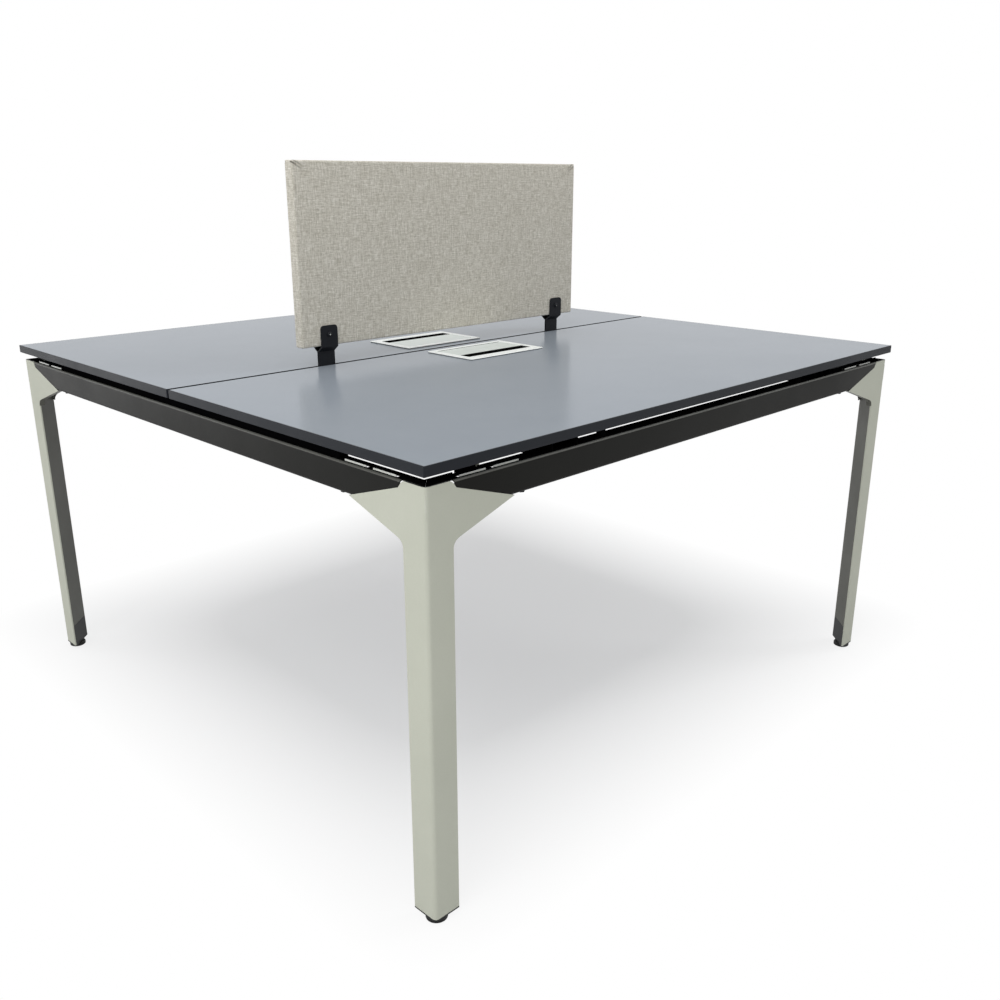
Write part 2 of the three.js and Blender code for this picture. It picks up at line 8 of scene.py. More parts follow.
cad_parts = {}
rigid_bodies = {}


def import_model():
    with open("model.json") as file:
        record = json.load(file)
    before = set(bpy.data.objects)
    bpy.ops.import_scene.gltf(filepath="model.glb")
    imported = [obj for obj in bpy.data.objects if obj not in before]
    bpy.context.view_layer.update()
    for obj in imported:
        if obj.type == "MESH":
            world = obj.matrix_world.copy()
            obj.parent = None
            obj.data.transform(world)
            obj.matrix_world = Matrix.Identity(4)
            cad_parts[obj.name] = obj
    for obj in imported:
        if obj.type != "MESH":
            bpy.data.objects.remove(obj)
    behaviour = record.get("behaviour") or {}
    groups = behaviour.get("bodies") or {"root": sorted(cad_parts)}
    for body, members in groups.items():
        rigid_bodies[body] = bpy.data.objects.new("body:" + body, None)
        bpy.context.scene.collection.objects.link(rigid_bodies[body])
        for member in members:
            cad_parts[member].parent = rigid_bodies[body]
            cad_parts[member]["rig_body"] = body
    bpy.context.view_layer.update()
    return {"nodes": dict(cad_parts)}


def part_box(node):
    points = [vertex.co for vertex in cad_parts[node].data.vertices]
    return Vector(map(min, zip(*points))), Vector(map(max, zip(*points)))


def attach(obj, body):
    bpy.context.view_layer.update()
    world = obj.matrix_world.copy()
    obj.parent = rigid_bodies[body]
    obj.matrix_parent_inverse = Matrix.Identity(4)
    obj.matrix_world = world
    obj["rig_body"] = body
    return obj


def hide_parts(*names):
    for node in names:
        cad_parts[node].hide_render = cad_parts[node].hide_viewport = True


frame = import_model()
print("frame loaded:", len(frame["nodes"]), "nodes")

mm = 0.001
corners = ("near_left", "near_right", "far_right", "far_left")
sides = ("left", "right")
users = {"far": 1, "near": -1}  # which way along Y each user's half lies from the seam
scene = bpy.context.scene

# places that several pieces are worked out from
beamLow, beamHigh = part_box("beam_near")
legLow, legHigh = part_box("leg_near_right")
frameHalf = (legHigh.x, -legLow.y)
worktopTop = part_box("worktop_near")[1].z


def tone(red, green, blue):
    # a screen colour, 0 to 255, as the linear colour that a socket takes
    linear = []
    for value in (red / 255, green / 255, blue / 255):
        low = value / 12.92
        linear.append(low if value <= 0.04045 else ((value + 0.055) / 1.055) ** 2.4)
    return (*linear, 1.0)


# camera: the view of the photograph
cameraLook = {
    "place": (-1.5047, -1.6487, 1.1087),
    "turn": (71.899, 0.0, -45.012),
    "lens": 35.33,
    "sensor": 36.0,
}
camera = bpy.data.objects.new("camera", bpy.data.cameras.new("camera"))
camera.location = cameraLook["place"]
camera.rotation_euler = [radians(angle) for angle in cameraLook["turn"]]
camera.data.lens = cameraLook["lens"]
camera.data.sensor_width = cameraLook["sensor"]
scene.collection.objects.link(camera)
scene.camera = camera
print("camera set")


# small helpers for node trees
def addNode(tree, kind, feeds=None, **settings):
    node = tree.nodes.new(kind)
    for key, value in settings.items():
        setattr(node, key, value)
    for key, value in (feeds or {}).items():
        if isinstance(value, bpy.types.NodeSocket):
            tree.links.new(value, node.inputs[key])
        else:
            node.inputs[key].default_value = value
    return node


def calc(tree, operation, *values):
    return addNode(tree, "ShaderNodeMath", dict(enumerate(values)), operation=operation).outputs[0]


def ramp(tree, value, low, high, toLow=0.0, toHigh=1.0):
    feeds = {0: value, 1: low, 2: high, 3: toLow, 4: toHigh}
    return addNode(tree, "ShaderNodeMapRange", feeds).outputs[0]


def mixTones(tree, factor, first, second):
    feeds = {0: factor, 6: first, 7: second}
    return addNode(tree, "ShaderNodeMix", feeds, data_type="RGBA").outputs[2]


def noise(tree, coords, scale, detail=2.0, roughness=0.5):
    feeds = {"Vector": coords, "Scale": scale, "Detail": detail, "Roughness": roughness}
    return addNode(tree, "ShaderNodeTexNoise", feeds).outputs[0]


def stretch(tree, coords, scale):
    return addNode(tree, "ShaderNodeMapping", {"Vector": coords, "Scale": scale}).outputs[0]


def makeGroup(name, inputs, outputs):
    group = bpy.data.node_groups.new(name, "ShaderNodeTree")
    for label, kind, value in inputs:
        socket = group.interface.new_socket(label, in_out="INPUT", socket_type=kind)
        if value is not None:
            socket.default_value = value
    for label in outputs:
        group.interface.new_socket(label, in_out="OUTPUT", socket_type="NodeSocketFloat")
    start = group.nodes.new("NodeGroupInput")
    end = group.nodes.new("NodeGroupOutput")
    return group, start.outputs, end.inputs


def placeGroup(tree, group, feeds):
    return addNode(tree, "ShaderNodeGroup", feeds, node_tree=group).outputs


# fine pebbled skin of sprayed coats and moulded plastic, with a slow drift in shade
skinEffect = {
    "peel": {"detail": 2.0, "roughness": 0.6},
    "pebbleRate": 0.7,
    "pebbleHeight": 0.5,
    "drift": {"scale": 6.0, "detail": 4.0, "roughness": 0.6},
    "speck": {"scale": 420.0, "detail": 1.0, "roughness": 0.5},
    "speckShare": 0.35,
    "spread": (0.3, 0.7),
}
skinGroup, given, made = makeGroup(
    "fineSkin",
    [("Coords", "NodeSocketVector", None), ("Grain", "NodeSocketFloat", 900.0)],
    ["Height", "Shade"],
)
peel = noise(skinGroup, given["Coords"], given["Grain"], **skinEffect["peel"])
pebbleScale = calc(skinGroup, "MULTIPLY", given["Grain"], skinEffect["pebbleRate"])
pebbles = {"Vector": given["Coords"], "Scale": pebbleScale}
pebbles = addNode(skinGroup, "ShaderNodeTexVoronoi", pebbles, feature="SMOOTH_F1").outputs[0]
height = calc(skinGroup, "MULTIPLY_ADD", pebbles, skinEffect["pebbleHeight"], peel)
skinGroup.links.new(height, made["Height"])
drift = noise(skinGroup, given["Coords"], **skinEffect["drift"])
speck = noise(skinGroup, given["Coords"], **skinEffect["speck"])
speck = calc(skinGroup, "SUBTRACT", speck, 0.5)
drift = calc(skinGroup, "MULTIPLY_ADD", speck, skinEffect["speckShare"], drift)
skinGroup.links.new(ramp(skinGroup, drift, *skinEffect["spread"]), made["Shade"])

# what use leaves, and a painted highlight: rubbed edges, which also stand for the light caught by rounded
# rims, dust that settles on upward faces, and hand smudges
useAndHighlightEffect = {
    "patch": {"scale": 45.0, "detail": 3.0, "roughness": 0.6},
    "patchSpread": (0.38, 0.62),
    "upward": (0.55, 0.95),
    "fluff": {"scale": 160.0, "detail": 5.0, "roughness": 0.75},
    "fluffSpread": (0.45, 0.8),
    "palm": {"scale": 3.4, "detail": 3.0, "roughness": 0.55},
    "strokes": (2.2, 11.0, 6.0),
    "wipe": {"scale": 1.0, "detail": 3.0, "roughness": 0.6},
    "smudgeSpread": (0.18, 0.36),
}
useAndHighlightGroup, given, made = makeGroup(
    "useAndEdgeHighlight", [("Coords", "NodeSocketVector", None)], ["Rub", "Dust", "Smudge"]
)
# the eased edge faces are lightened, partly as wear and partly as a painted highlight on the rims
edge = addNode(useAndHighlightGroup, "ShaderNodeAttribute", attribute_name="easedEdge").outputs["Fac"]
patch = noise(useAndHighlightGroup, given["Coords"], **useAndHighlightEffect["patch"])
patch = ramp(useAndHighlightGroup, patch, *useAndHighlightEffect["patchSpread"])
useAndHighlightGroup.links.new(calc(useAndHighlightGroup, "MULTIPLY", edge, patch), made["Rub"])
faceNormal = addNode(useAndHighlightGroup, "ShaderNodeNewGeometry").outputs["Normal"]
facing = addNode(useAndHighlightGroup, "ShaderNodeSeparateXYZ", {0: faceNormal}).outputs
settled = ramp(useAndHighlightGroup, facing["Z"], *useAndHighlightEffect["upward"])
fluff = noise(useAndHighlightGroup, given["Coords"], **useAndHighlightEffect["fluff"])
fluff = ramp(useAndHighlightGroup, fluff, *useAndHighlightEffect["fluffSpread"])
useAndHighlightGroup.links.new(calc(useAndHighlightGroup, "MULTIPLY", settled, fluff), made["Dust"])
palm = noise(useAndHighlightGroup, given["Coords"], **useAndHighlightEffect["palm"])
strokes = stretch(useAndHighlightGroup, given["Coords"], useAndHighlightEffect["strokes"])
wipe = noise(useAndHighlightGroup, strokes, **useAndHighlightEffect["wipe"])
smudge = calc(useAndHighlightGroup, "MULTIPLY", palm, wipe)
useAndHighlightGroup.links.new(ramp(useAndHighlightGroup, smudge, *useAndHighlightEffect["smudgeSpread"]), made["Smudge"])

# drawn lines of brushed metal and extruded strip, running along X of the coordinates
lineEffect = {
    "fine": (9.0, 1500.0, 1500.0),
    "lines": {"detail": 3.0, "roughness": 0.65},
    "broad": (2.0, 260.0, 260.0),
    "bands": {"detail": 2.0, "roughness": 0.5},
    "bandShare": 0.6,
    "spread": (0.55, 1.05),
}
lineGroup, given, made = makeGroup(
    "drawnLines",
    [("Coords", "NodeSocketVector", None), ("Fineness", "NodeSocketFloat", 1.0)],
    ["Height", "Shade"],
)
fine = stretch(lineGroup, given["Coords"], lineEffect["fine"])
lines = noise(lineGroup, fine, given["Fineness"], **lineEffect["lines"])
lineGroup.links.new(lines, made["Height"])
broad = stretch(lineGroup, given["Coords"], lineEffect["broad"])
bands = noise(lineGroup, broad, given["Fineness"], **lineEffect["bands"])
bands = calc(lineGroup, "MULTIPLY_ADD", bands, lineEffect["bandShare"], lines)
lineGroup.links.new(ramp(lineGroup, bands, *lineEffect["spread"]), made["Shade"])
print("shared effects built")


def startMaterial(name):
    material = bpy.data.materials.new(name)
    material.use_nodes = True
    tree = material.node_tree
    shader = tree.nodes["Principled BSDF"]
    coords = addNode(tree, "ShaderNodeTexCoord").outputs["Object"]
    return material, tree, shader, coords


def bump(tree, shader, height, depth):
    node = addNode(tree, "ShaderNodeBump", {"Height": height, "Strength": 1.0, "Distance": depth})
    tree.links.new(node.outputs[0], shader.inputs["Normal"])


# the coat's random drift in tone, with the rubbed edges lighter: partly wear, partly a painted highlight
# where rounded rims catch the light
def wornAndHighlitColour(tree, look, shade, useAndHighlight):
    colour = mixTones(tree, shade, look["deep"], look["colour"])
    rubAndHighlightShare = calc(tree, "MULTIPLY", useAndHighlight["Rub"], look["rubAndHighlightShare"])
    return mixTones(tree, rubAndHighlightShare, colour, look["rubAndHighlightTone"])


def handledGloss(tree, shader, look, shade, useAndHighlight):
    rough = ramp(tree, shade, 0.0, 1.0, look["rough"] + look["vary"], look["rough"] - look["vary"])
    rough = calc(tree, "MULTIPLY_ADD", useAndHighlight["Smudge"], look["smudge"], rough)
    tree.links.new(rough, shader.inputs["Roughness"])


dustTone = tone(196, 192, 186)


def skinMaterial(name, look):
    # sprayed coats, moulded plastic and the laminate share this build
    material, tree, shader, coords = startMaterial(name)
    skin = placeGroup(tree, skinGroup, {"Coords": coords, "Grain": look["grain"]})
    useAndHighlight = placeGroup(tree, useAndHighlightGroup, {"Coords": coords})
    dust = calc(tree, "MULTIPLY", useAndHighlight["Dust"], look["dust"])
    colour = mixTones(tree, dust, wornAndHighlitColour(tree, look, skin["Shade"], useAndHighlight), dustTone)
    tree.links.new(colour, shader.inputs["Base Color"])
    handledGloss(tree, shader, look, skin["Shade"], useAndHighlight)
    shader.inputs["Specular IOR Level"].default_value = look["gloss"]
    bump(tree, shader, skin["Height"], look["depth"])
    return material


def metalMaterial(name, look):
    material, tree, shader, coords = startMaterial(name)
    drawn = placeGroup(tree, lineGroup, {"Coords": coords, "Fineness": look["fineness"]})
    useAndHighlight = placeGroup(tree, useAndHighlightGroup, {"Coords": coords})
    tree.links.new(wornAndHighlitColour(tree, look, drawn["Shade"], useAndHighlight), shader.inputs["Base Color"])
    handledGloss(tree, shader, look, drawn["Shade"], useAndHighlight)
    shader.inputs["Metallic"].default_value = look["metal"]
    bump(tree, shader, drawn["Height"], look["depth"])
    return material


laminate = skinMaterial(
    "laminate",
    {
        "colour": tone(146, 153, 161),
        "deep": tone(143, 150, 158),
        "grain": 1500.0,
        "depth": 0.000003,
        "rough": 0.19,
        "vary": 0.003,
        "gloss": 0.045,
        "rubAndHighlightShare": 0.0,
        "rubAndHighlightTone": tone(150, 155, 160),
        "dust": 0.0,
        "smudge": 0.004,
    },
)
edging = skinMaterial(
    "edging",
    {
        "colour": tone(35, 38, 43),
        "deep": tone(31, 34, 39),
        "grain": 1800.0,
        "depth": 0.000015,
        "rough": 0.42,
        "vary": 0.03,
        "gloss": 0.12,
        "rubAndHighlightShare": 0.35,
        "rubAndHighlightTone": tone(110, 114, 118),
        "dust": 0.04,
        "smudge": 0.05,
    },
)
paleCoat = skinMaterial(
    "pale_coat",
    {
        "colour": tone(197, 199, 185),
        "deep": tone(192, 194, 180),
        "grain": 850.0,
        "depth": 0.00003,
        "rough": 0.5,
        "vary": 0.03,
        "gloss": 0.06,
        "rubAndHighlightShare": 0.45,
        "rubAndHighlightTone": tone(222, 222, 214),
        "dust": 0.03,
        "smudge": 0.06,
    },
)
darkCoat = skinMaterial(
    "dark_coat",
    {
        "colour": tone(20, 20, 17),
        "deep": tone(16, 16, 13),
        "grain": 800.0,
        "depth": 0.000035,
        "rough": 0.4,
        "vary": 0.03,
        "gloss": 0.1,
        "rubAndHighlightShare": 0.4,
        "rubAndHighlightTone": tone(128, 128, 122),
        "dust": 0.08,
        "smudge": 0.05,
    },
)
coverCoat = skinMaterial(
    "cover_coat",
    {
        "colour": tone(95, 95, 88),
        "deep": tone(88, 88, 81),
        "grain": 800.0,
        "depth": 0.000035,
        "rough": 0.45,
        "vary": 0.03,
        "gloss": 0.2,
        "rubAndHighlightShare": 0.3,
        "rubAndHighlightTone": tone(128, 128, 122),
        "dust": 0.05,
        "smudge": 0.05,
    },
)
blackCoat = skinMaterial(
    "black_coat",
    {
        "colour": tone(25, 27, 31),
        "deep": tone(20, 22, 26),
        "grain": 900.0,
        "depth": 0.00003,
        "rough": 0.45,
        "vary": 0.03,
        "gloss": 0.16,
        "rubAndHighlightShare": 0.35,
        "rubAndHighlightTone": tone(78, 80, 82),
        "dust": 0.06,
        "smudge": 0.06,
    },
)
blackPlastic = skinMaterial(
    "black_plastic",
    {
        "colour": tone(22, 22, 23),
        "deep": tone(17, 17, 18),
        "grain": 1300.0,
        "depth": 0.00004,
        "rough": 0.48,
        "vary": 0.03,
        "gloss": 0.25,
        "rubAndHighlightShare": 0.3,
        "rubAndHighlightTone": tone(60, 60, 60),
        "dust": 0.1,
        "smudge": 0.05,
    },
)
# a lighter, glossier copy of the legs' pale coat: painted light for the tabs in the beams' slots
tabPaintedLight = skinMaterial(
    "tab_painted_light",
    {
        "colour": tone(240, 241, 234),
        "deep": tone(232, 233, 226),
        "grain": 850.0,
        "depth": 0.00003,
        "rough": 0.44,
        "vary": 0.03,
        "gloss": 0.5,
        "rubAndHighlightShare": 0.2,
        "rubAndHighlightTone": tone(246, 246, 240),
        "dust": 0.03,
        "smudge": 0.06,
    },
)
# a deep matt black: the colour of the black bushes, and elsewhere painted shade on parts and faces that
# sit in shade under the worktops and in the slots
blackAndPaintedShade = skinMaterial(
    "black_and_painted_shade",
    {
        "colour": tone(10, 10, 11),
        "deep": tone(6, 6, 7),
        "grain": 1300.0,
        "depth": 0.00004,
        "rough": 0.7,
        "vary": 0.05,
        "gloss": 0.0,
        "rubAndHighlightShare": 0.1,
        "rubAndHighlightTone": tone(40, 40, 40),
        "dust": 0.01,
        "smudge": 0.03,
    },
)
# a lighter copy of the dark coat: a painted highlight for the beams' upper bend
bendHighlightCoat = skinMaterial(
    "bend_painted_highlight",
    {
        "colour": tone(80, 80, 75),
        "deep": tone(72, 72, 67),
        "grain": 800.0,
        "depth": 0.00003,
        "rough": 0.4,
        "vary": 0.03,
        "gloss": 0.3,
        "rubAndHighlightShare": 0.2,
        "rubAndHighlightTone": tone(128, 128, 122),
        "dust": 0.05,
        "smudge": 0.05,
    },
)
zincSteel = metalMaterial(
    "zinc_steel",
    {
        "colour": tone(205, 206, 204),
        "deep": tone(176, 178, 178),
        "fineness": 0.6,
        "depth": 0.00001,
        "rough": 0.34,
        "vary": 0.05,
        "metal": 1.0,
        "rubAndHighlightShare": 0.5,
        "rubAndHighlightTone": tone(232, 232, 230),
        "smudge": 0.08,
    },
)
frameAluminium = metalMaterial(
    "frame_aluminium",
    {
        "colour": tone(252, 255, 253),
        "deep": tone(246, 249, 247),
        "fineness": 1.0,
        "depth": 0.000006,
        "rough": 0.42,
        "vary": 0.05,
        "metal": 0.1,
        "rubAndHighlightShare": 0.4,
        "rubAndHighlightTone": tone(250, 250, 250),
        "smudge": 0.05,
    },
)
lidAluminium = metalMaterial(
    "lid_aluminium",
    {
        "colour": tone(228, 234, 230),
        "deep": tone(213, 220, 216),
        "fineness": 0.8,
        "depth": 0.000012,
        "rough": 0.42,
        "vary": 0.05,
        "metal": 0.25,
        "rubAndHighlightShare": 0.4,
        "rubAndHighlightTone": tone(246, 247, 246),
        "smudge": 0.07,
    },
)

# woven melange cloth: each thread has its own tone that changes along it
clothLook = {
    "pitch": 1.2 * mm,
    "crossing": 0.25,
    "slub": 150.0,
    "thread": {"scale": 0.8, "detail": 2.0, "roughness": 0.6},
    "warp": (360.0, 36.0, 1.0),
    "weft": (42.0, 420.0, 1.0),
    "bundle": {"scale": 1.0, "detail": 3.0, "roughness": 0.6},
    "melange": 0.6,
    "cloud": {"scale": 9.0, "detail": 3.0, "roughness": 0.6},
    "cloudShare": 0.06,
    "dark": tone(174, 167, 151),
    "middle": tone(208, 203, 189),
    "light": tone(240, 236, 226),
    "toneAt": (0.26, 0.5, 0.74),
    "tuckShadeTone": tone(66, 60, 52),
    "depth": 0.0002,
    "slubHeight": 0.8,
    "fuzz": {"low": 0.2, "high": 0.8, "toLow": 0.92, "toHigh": 0.82},
    "gloss": 0.25,
    "sheen": 0.15,
    "sheenRough": 0.5,
}
fabric, tree, shader, coords = startMaterial("fabric")
weaveUv = addNode(tree, "ShaderNodeUVMap", uv_map="clothUv").outputs[0]
weavePlace = addNode(tree, "ShaderNodeSeparateXYZ", {0: weaveUv}).outputs
threads = 1.0 / clothLook["pitch"]
slub = clothLook["slub"]
acrossTurn = calc(tree, "SINE", calc(tree, "MULTIPLY", weavePlace["X"], threads * pi))
alongTurn = calc(tree, "SINE", calc(tree, "MULTIPLY", weavePlace["Y"], threads * pi))
overUnder = calc(tree, "MULTIPLY", acrossTurn, alongTurn)
overUnder = ramp(tree, overUnder, -clothLook["crossing"], clothLook["crossing"])
warpTone = noise(tree, stretch(tree, weaveUv, (threads, slub, 1.0)), **clothLook["thread"])
weftTone = noise(tree, stretch(tree, weaveUv, (slub, threads, 1.0)), **clothLook["thread"])
threadTone = addNode(tree, "ShaderNodeMix", {0: overUnder, 2: weftTone, 3: warpTone}).outputs[0]
warpBundle = noise(tree, stretch(tree, weaveUv, clothLook["warp"]), **clothLook["bundle"])
weftBundle = noise(tree, stretch(tree, weaveUv, clothLook["weft"]), **clothLook["bundle"])
bundles = calc(tree, "ADD", warpBundle, weftBundle)
bundles = calc(tree, "SUBTRACT", bundles, 1.0)
threadTone = calc(tree, "MULTIPLY_ADD", bundles, clothLook["melange"], threadTone)
cloudy = calc(tree, "SUBTRACT", noise(tree, coords, **clothLook["cloud"]), 0.5)
threadTone = calc(tree, "MULTIPLY_ADD", cloudy, clothLook["cloudShare"], threadTone)
clothRamp = addNode(tree, "ShaderNodeValToRGB", {0: threadTone})
darkAt, middleAt, lightAt = clothLook["toneAt"]
rampStops = clothRamp.color_ramp.elements
rampStops[0].position = darkAt
rampStops[0].color = clothLook["dark"]
rampStops[1].position = lightAt
rampStops[1].color = clothLook["light"]
rampStops.new(middleAt).color = clothLook["middle"]
# painted shade darkens the cloth in the tucks at the upper corners
inTuckShade = addNode(tree, "ShaderNodeAttribute", attribute_name="tuckShade").outputs["Fac"]
shaded = mixTones(tree, inTuckShade, clothRamp.outputs[0], clothLook["tuckShadeTone"])
tree.links.new(shaded, shader.inputs["Base Color"])
threadHeight = calc(tree, "ADD", calc(tree, "ABSOLUTE", acrossTurn), calc(tree, "ABSOLUTE", alongTurn))
threadHeight = calc(tree, "MULTIPLY_ADD", threadTone, clothLook["slubHeight"], threadHeight)
bump(tree, shader, threadHeight, clothLook["depth"])
tree.links.new(ramp(tree, threadTone, **clothLook["fuzz"]), shader.inputs["Roughness"])
shader.inputs["Specular IOR Level"].default_value = clothLook["gloss"]
shader.inputs["Sheen Weight"].default_value = clothLook["sheen"]
shader.inputs["Sheen Roughness"].default_value = clothLook["sheenRough"]
print("materials built")


# small helpers for pieces
def finishPiece(name, bm, materials, body, replaced=(), sharpAngle=60):
    mesh = bpy.data.meshes.new(name)
    bm.to_mesh(mesh)
    bm.free()
    for material in materials:
        mesh.materials.append(material)
    mesh.shade_smooth()
    mesh.set_sharp_from_angle(angle=radians(sharpAngle))
    piece = bpy.data.objects.new(name, mesh)
    scene.collection.objects.link(piece)
    flatter = piece.modifiers.new("flatter", "WEIGHTED_NORMAL")
    flatter.keep_sharp = True
    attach(piece, body)
    if replaced:
        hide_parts(*replaced)


def bodyOf(node):
    return frame["nodes"][node]["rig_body"]


copyLook = {"merge": 0.004 * mm, "flat": 0.6, "cut": 0.001 * mm}


def mergedCopy(node):
    # a CAD node's mesh is loose triangles: they are joined, and flat faces become whole
    bm = bmesh.new()
    bm.from_mesh(frame["nodes"][node].data)
    bmesh.ops.remove_doubles(bm, verts=bm.verts, dist=copyLook["merge"])
    bmesh.ops.dissolve_limit(bm, angle_limit=radians(copyLook["flat"]), verts=bm.verts, edges=bm.edges)
    return bm


def split(bm, place, axis):
    whole = bm.verts[:] + bm.edges[:] + bm.faces[:]
    plane = Vector(axis) * place
    bmesh.ops.bisect_plane(bm, geom=whole, dist=copyLook["cut"], plane_co=plane, plane_no=axis)


def bevelEdges(bm, edges, look):
    return bmesh.ops.bevel(
        bm,
        geom=edges,
        offset=look["ease"],
        offset_type="OFFSET",
        segments=look["steps"],
        profile=0.5,
        affect="EDGES",
        clamp_overlap=True,
        material=-1,
    )


def easeEdges(bm, look):
    # rounds the sharp edges of the first material and marks the new faces for the rubbed edges, which are
    # lighter both as wear and as a painted highlight on the rims
    mark = bm.faces.layers.float.new("easedEdge")
    sharp = []
    for edge in bm.edges:
        other = any(face.material_index > 0 for face in edge.link_faces)
        if other or not edge.is_manifold or edge.calc_length() < look["shortest"]:
            continue
        if edge.calc_face_angle() > radians(look["least"]):
            sharp.append(edge)
    for face in bevelEdges(bm, sharp, look)["faces"]:
        face[mark] = 1.0


def easedPiece(node, name, look, material):
    bm = mergedCopy(node)
    easeEdges(bm, look)
    finishPiece(name, bm, (material,), bodyOf(node), (node,))


def addBar(bm, size, place):
    bar = bmesh.ops.create_cube(bm, size=1.0)["verts"]
    bmesh.ops.scale(bm, vec=size, verts=bar)
    bmesh.ops.translate(bm, vec=place, verts=bar)


# legs: pale outside, darker inside, and black on the arms that run into the beams as painted shade under
# the worktop
legLook = {"ease": 0.6 * mm, "steps": 2, "least": 40, "shortest": 0, "wall": 3.4 * mm, "armRise": 0.8 * mm}
coats = (paleCoat, blackCoat, coverCoat)
armLow = beamLow.z + legLook["armRise"]
for corner in corners:
    node = "leg_" + corner
    bm = mergedCopy(node)
    low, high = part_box(node)
    outerX = low.x if low.x + high.x < 0 else high.x
    outerY = low.y if low.y + high.y < 0 else high.y
    for face in bm.faces:
        middle = face.calc_center_median()
        inside = min(abs(middle.x - outerX), abs(middle.y - outerY))
        if inside > legLook["wall"]:
            # inner faces: black as painted shade on the arms, the darker cover coat below them
            face.material_index = 1 if middle.z > armLow else 2
    easeEdges(bm, legLook)
    finishPiece("coated_leg_" + corner, bm, coats, "desk", (node,))
print("legs coated")

# beams: the upper bend is given a lighter coat as a painted highlight, and the upper flange is painted
# black as painted shade under the worktop
beamLook = {
    "ease": 0.4 * mm, "steps": 2, "least": 40, "shortest": 0,
    "flange": 0.2 * mm, "flat": 0.97, "bend": 6 * mm, "slant": 0.2,
}
coats = (darkCoat, blackAndPaintedShade, bendHighlightCoat)
for name in ("near", "right", "far", "left"):
    node = "beam_" + name
    bm = mergedCopy(node)
    for face in bm.faces:
        drop = beamHigh.z - face.calc_center_median().z
        # faces of the upper flange take painted shade, those of the upper bend a painted highlight
        if drop < beamLook["flange"] and face.normal.z > beamLook["flat"]:
            face.material_index = 1
        elif drop < beamLook["bend"] and face.normal.z > beamLook["slant"]:
            face.material_index = 2
    easeEdges(bm, beamLook)
    finishPiece("coated_beam_" + name, bm, coats, "desk", (node,))

# hem along the inner edge of the long beams' upper flange, broken at the clips and bearers, in black as
# painted shade
hemLook = {"inset": 0.9 * mm, "wall": 1.4 * mm, "gap": 0.1 * mm, "height": 2.2 * mm, "clear": 4 * mm}
hemStops = [-frameHalf[0], frameHalf[0]]
for side in sides:
    for node in ("worktop_clip_near_" + side, "bearer_" + side):
        low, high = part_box(node)
        hemStops += [low.x, high.x]
hemStops.sort()
hemY = abs(beamHigh.y) + hemLook["inset"]
hemZ = beamHigh.z + hemLook["gap"] + hemLook["height"] / 2
bm = bmesh.new()
for hand in users.values():
    for first, last in zip(hemStops[0::2], hemStops[1::2]):
        length = last - first - 2 * hemLook["clear"]
        addBar(bm, (length, hemLook["wall"], hemLook["height"]), ((first + last) / 2, hand * hemY, hemZ))
finishPiece("beam_hems", bm, (blackAndPaintedShade,), "desk")

coverLook = {"ease": 0.4 * mm, "steps": 2, "least": 40, "shortest": 0}
for corner in corners:
    easedPiece("leg_cover_" + corner, "coated_cover_" + corner, coverLook, coverCoat)

innerLook = {"ease": 0.4 * mm, "steps": 2, "least": 40, "shortest": 0}
# the bearers and side strips are black as painted shade under the worktops
for side in sides:
    easedPiece("bearer_" + side, "coated_bearer_" + side, innerLook, blackAndPaintedShade)
    easedPiece("side_strip_" + side, "eased_strip_" + side, innerLook, blackAndPaintedShade)

# pale tabs of the legs' arms that stand in the beams' slots, on the side of the fold, coated lighter and
# glossier than the legs as painted light in the slots
tabLook = {
    "slotStarts": (66 * mm, 133 * mm), "slotLength": 56 * mm, "slotSetback": 6 * mm, "slotGap": 0.5 * mm,
    "length": 51 * mm, "wall": 1.6 * mm, "drop": 6 * mm, "rise": 2.4 * mm, "ease": 0.4 * mm, "steps": 2,
}
tabSetback = tabLook["slotSetback"] + tabLook["slotGap"] + tabLook["wall"] / 2
bm = bmesh.new()
for along, across in ((0, 1), (1, 0)):
    size = Vector((tabLook["wall"], tabLook["wall"], tabLook["drop"] + tabLook["rise"]))
    size[along] = tabLook["length"]
    for start in tabLook["slotStarts"]:
        for hand in (-1, 1):
            for end in (-1, 1):
                place = Vector((0, 0, beamHigh.z + (tabLook["rise"] - tabLook["drop"]) / 2))
                place[along] = hand * (frameHalf[along] - start - tabLook["slotLength"] / 2)
                place[across] = end * (frameHalf[across] - tabSetback)
                addBar(bm, size, place)
bevelEdges(bm, bm.edges[:], tabLook)
finishPiece("arm_tabs", bm, (tabPaintedLight,), "desk")
print("arm tabs made")

clipLook = {"ease": 0.3 * mm, "steps": 2, "least": 40, "shortest": 0}
clampLook = {"ease": 0.4 * mm, "steps": 2, "least": 30, "shortest": 1 * mm}
for user in users:
    for side in sides:
        ending = user + "_" + side
        # the clips are black as painted shade under the worktops
        easedPiece("worktop_clip_" + ending, "coated_clip_" + ending, clipLook, blackAndPaintedShade)
        easedPiece("screen_clamp_" + ending, "coated_clamp_" + ending, clampLook, blackCoat)
print("beams, covers, bearers, clips and clamps coated")

capLook = {"ease": 0.5 * mm, "steps": 2, "least": 40, "shortest": 1 * mm}
hexLook = {"ease": 0.25 * mm, "steps": 2, "least": 40, "shortest": 0}
for corner in corners:
    easedPiece("end_cap_" + corner, "moulded_cap_" + corner, capLook, blackPlastic)
    for letter in ("a", "b"):
        ending = corner + "_" + letter
        easedPiece("arm_bolt_" + ending, "coated_bolt_" + ending, hexLook, blackCoat)
print("caps and arm bolts done")


def repaint(node, material):
    # a CAD node that stays as it is
    mesh = frame["nodes"][node].data
    mesh.materials.clear()
    mesh.materials.append(material)


